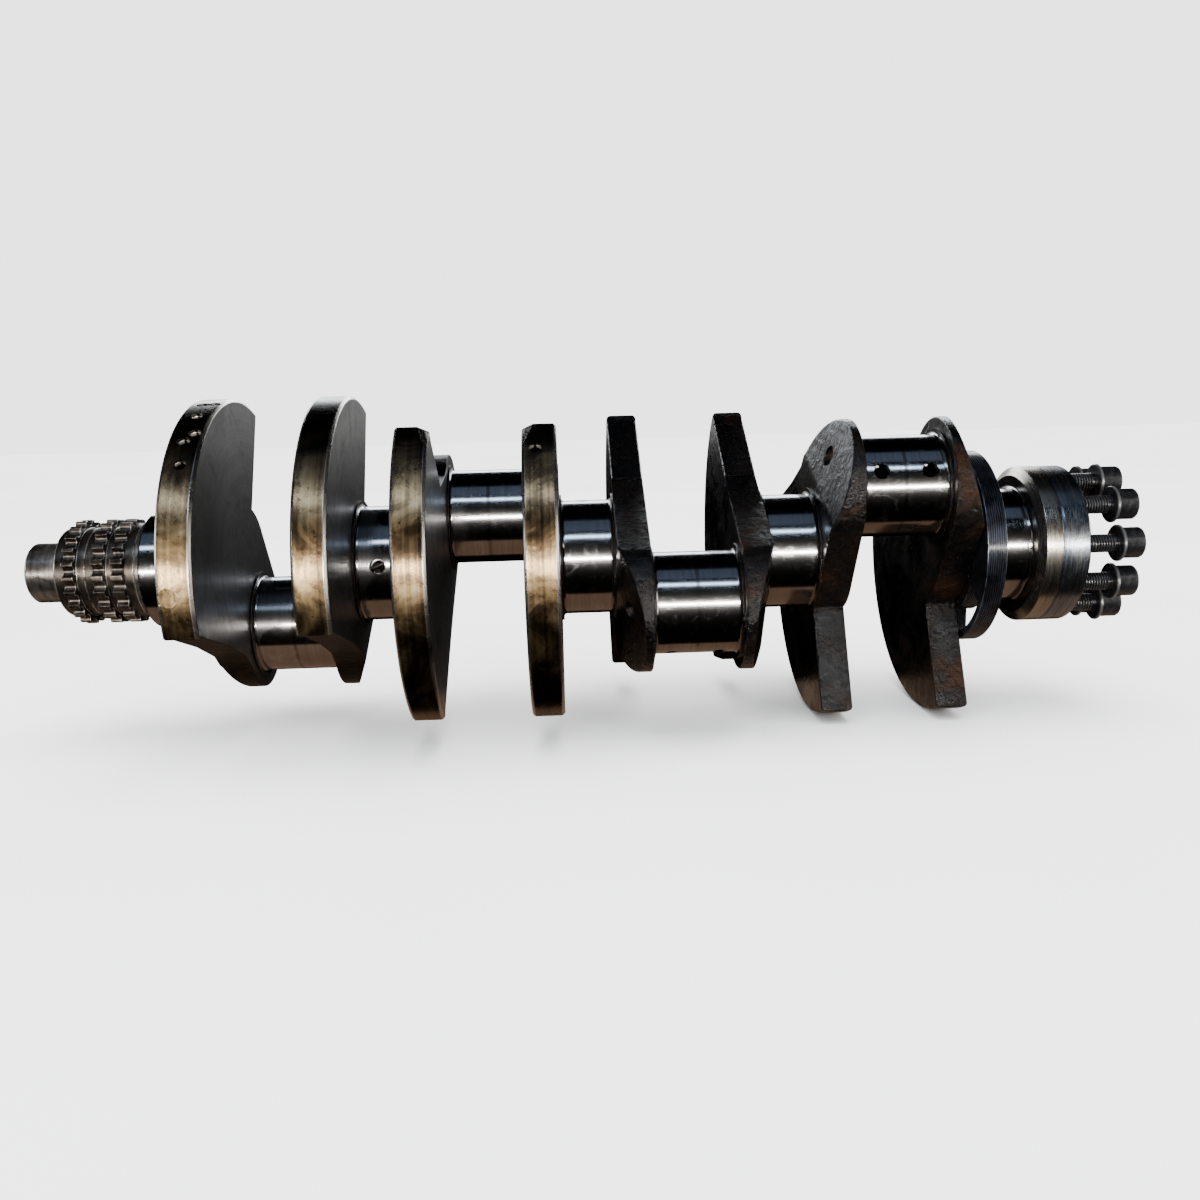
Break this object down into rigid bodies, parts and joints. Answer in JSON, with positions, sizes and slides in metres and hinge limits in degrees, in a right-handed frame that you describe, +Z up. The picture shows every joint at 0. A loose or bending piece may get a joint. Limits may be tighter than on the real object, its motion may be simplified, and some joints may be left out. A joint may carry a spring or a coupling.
{
  "type": "crankshaft",
  "caption": "Forged V8 crankshaft with counterweighted webs, ground journals, chain sprockets, a sensor ring and a rear flange with loosened bolts.",
  "frame": {"origin": "centre of main journal 3 on the main axis", "axes": "+X along the main axis towards the flywheel flange, +Z up, crankpins at 300, 30, 210 and 120 degrees from +Y towards +Z"},
  "size_m": [0.6077, 0.186, 0.186],
  "materials": {
    "polished_journal_steel": "mirror ground, thin oil film",
    "ground_steel": "satin ground",
    "machined_rim_steel": "turned, stained brown by hot oil",
    "forged_steel": "raw black forging, wet with oil",
    "dark_sprocket_steel": "hardened, dark satin",
    "blued_steel": "blued, finely grooved rim",
    "black_oxide_steel": "black oxide",
    "copper_tinted_plug": "oil stained"
  },
  "bodies": {
    "crankshaft": {"front_nose": "ground_steel", "main_journal_1": "polished_journal_steel", "main_journal_2": "polished_journal_steel", "main_journal_3": "polished_journal_steel", "main_journal_4": "polished_journal_steel", "main_journal_5": "polished_journal_steel", "crankpin_1": "polished_journal_steel", "crankpin_2": "polished_journal_steel", "crankpin_3": "polished_journal_steel", "crankpin_4": "polished_journal_steel", "web_1": "machined_rim_steel", "web_2": "machined_rim_steel", "web_3": "machined_rim_steel", "web_4": "machined_rim_steel", "web_5": "forged_steel", "web_6": "forged_steel", "web_7": "forged_steel", "web_8": "forged_steel", "rear_flange": "ground_steel", "oil_pump_sprocket": "dark_sprocket_steel", "timing_sprocket": "dark_sprocket_steel", "thrust_washer": "dark_sprocket_steel", "sprocket_key": "ground_steel", "trigger_ring": "blued_steel", "trigger_ring_screws": "black_oxide_steel", "oil_gallery_plugs": "copper_tinted_plug", "balance_plug": "machined_rim_steel"},
    "flywheel_bolt_1_body": {"flywheel_bolt_1": "black_oxide_steel"},
    "flywheel_bolt_2_body": {"flywheel_bolt_2": "black_oxide_steel"},
    "flywheel_bolt_3_body": {"flywheel_bolt_3": "black_oxide_steel"},
    "flywheel_bolt_4_body": {"flywheel_bolt_4": "black_oxide_steel"},
    "flywheel_bolt_5_body": {"flywheel_bolt_5": "black_oxide_steel"},
    "flywheel_bolt_6_body": {"flywheel_bolt_6": "black_oxide_steel"},
    "flywheel_bolt_7_body": {"flywheel_bolt_7": "black_oxide_steel"},
    "flywheel_bolt_8_body": {"flywheel_bolt_8": "black_oxide_steel"},
    "flywheel_bolt_9_body": {"flywheel_bolt_9": "black_oxide_steel"},
    "flywheel_bolt_10_body": {"flywheel_bolt_10": "black_oxide_steel"}
  },
  "joints": [
    {"name": "flywheel_bolt_1_travel", "type": "slide", "parent": "crankshaft", "child": "flywheel_bolt_1_body", "axis": [1, 0, 0], "range_m": [-0.0102, 0.0125]},
    {"name": "flywheel_bolt_2_travel", "type": "slide", "parent": "crankshaft", "child": "flywheel_bolt_2_body", "axis": [1, 0, 0], "range_m": [-0.0102, 0.0125]},
    {"name": "flywheel_bolt_3_travel", "type": "slide", "parent": "crankshaft", "child": "flywheel_bolt_3_body", "axis": [1, 0, 0], "range_m": [-0.0102, 0.0125]},
    {"name": "flywheel_bolt_4_travel", "type": "slide", "parent": "crankshaft", "child": "flywheel_bolt_4_body", "axis": [1, 0, 0], "range_m": [-0.0102, 0.0125]},
    {"name": "flywheel_bolt_5_travel", "type": "slide", "parent": "crankshaft", "child": "flywheel_bolt_5_body", "axis": [1, 0, 0], "range_m": [-0.0102, 0.0125]},
    {"name": "flywheel_bolt_6_travel", "type": "slide", "parent": "crankshaft", "child": "flywheel_bolt_6_body", "axis": [1, 0, 0], "range_m": [-0.0102, 0.0125]},
    {"name": "flywheel_bolt_7_travel", "type": "slide", "parent": "crankshaft", "child": "flywheel_bolt_7_body", "axis": [1, 0, 0], "range_m": [-0.0102, 0.0125]},
    {"name": "flywheel_bolt_8_travel", "type": "slide", "parent": "crankshaft", "child": "flywheel_bolt_8_body", "axis": [1, 0, 0], "range_m": [-0.0102, 0.0125]},
    {"name": "flywheel_bolt_9_travel", "type": "slide", "parent": "crankshaft", "child": "flywheel_bolt_9_body", "axis": [1, 0, 0], "range_m": [-0.0102, 0.0125]},
    {"name": "flywheel_bolt_10_travel", "type": "slide", "parent": "crankshaft", "child": "flywheel_bolt_10_body", "axis": [1, 0, 0], "range_m": [-0.0102, 0.0125]}
  ]
}
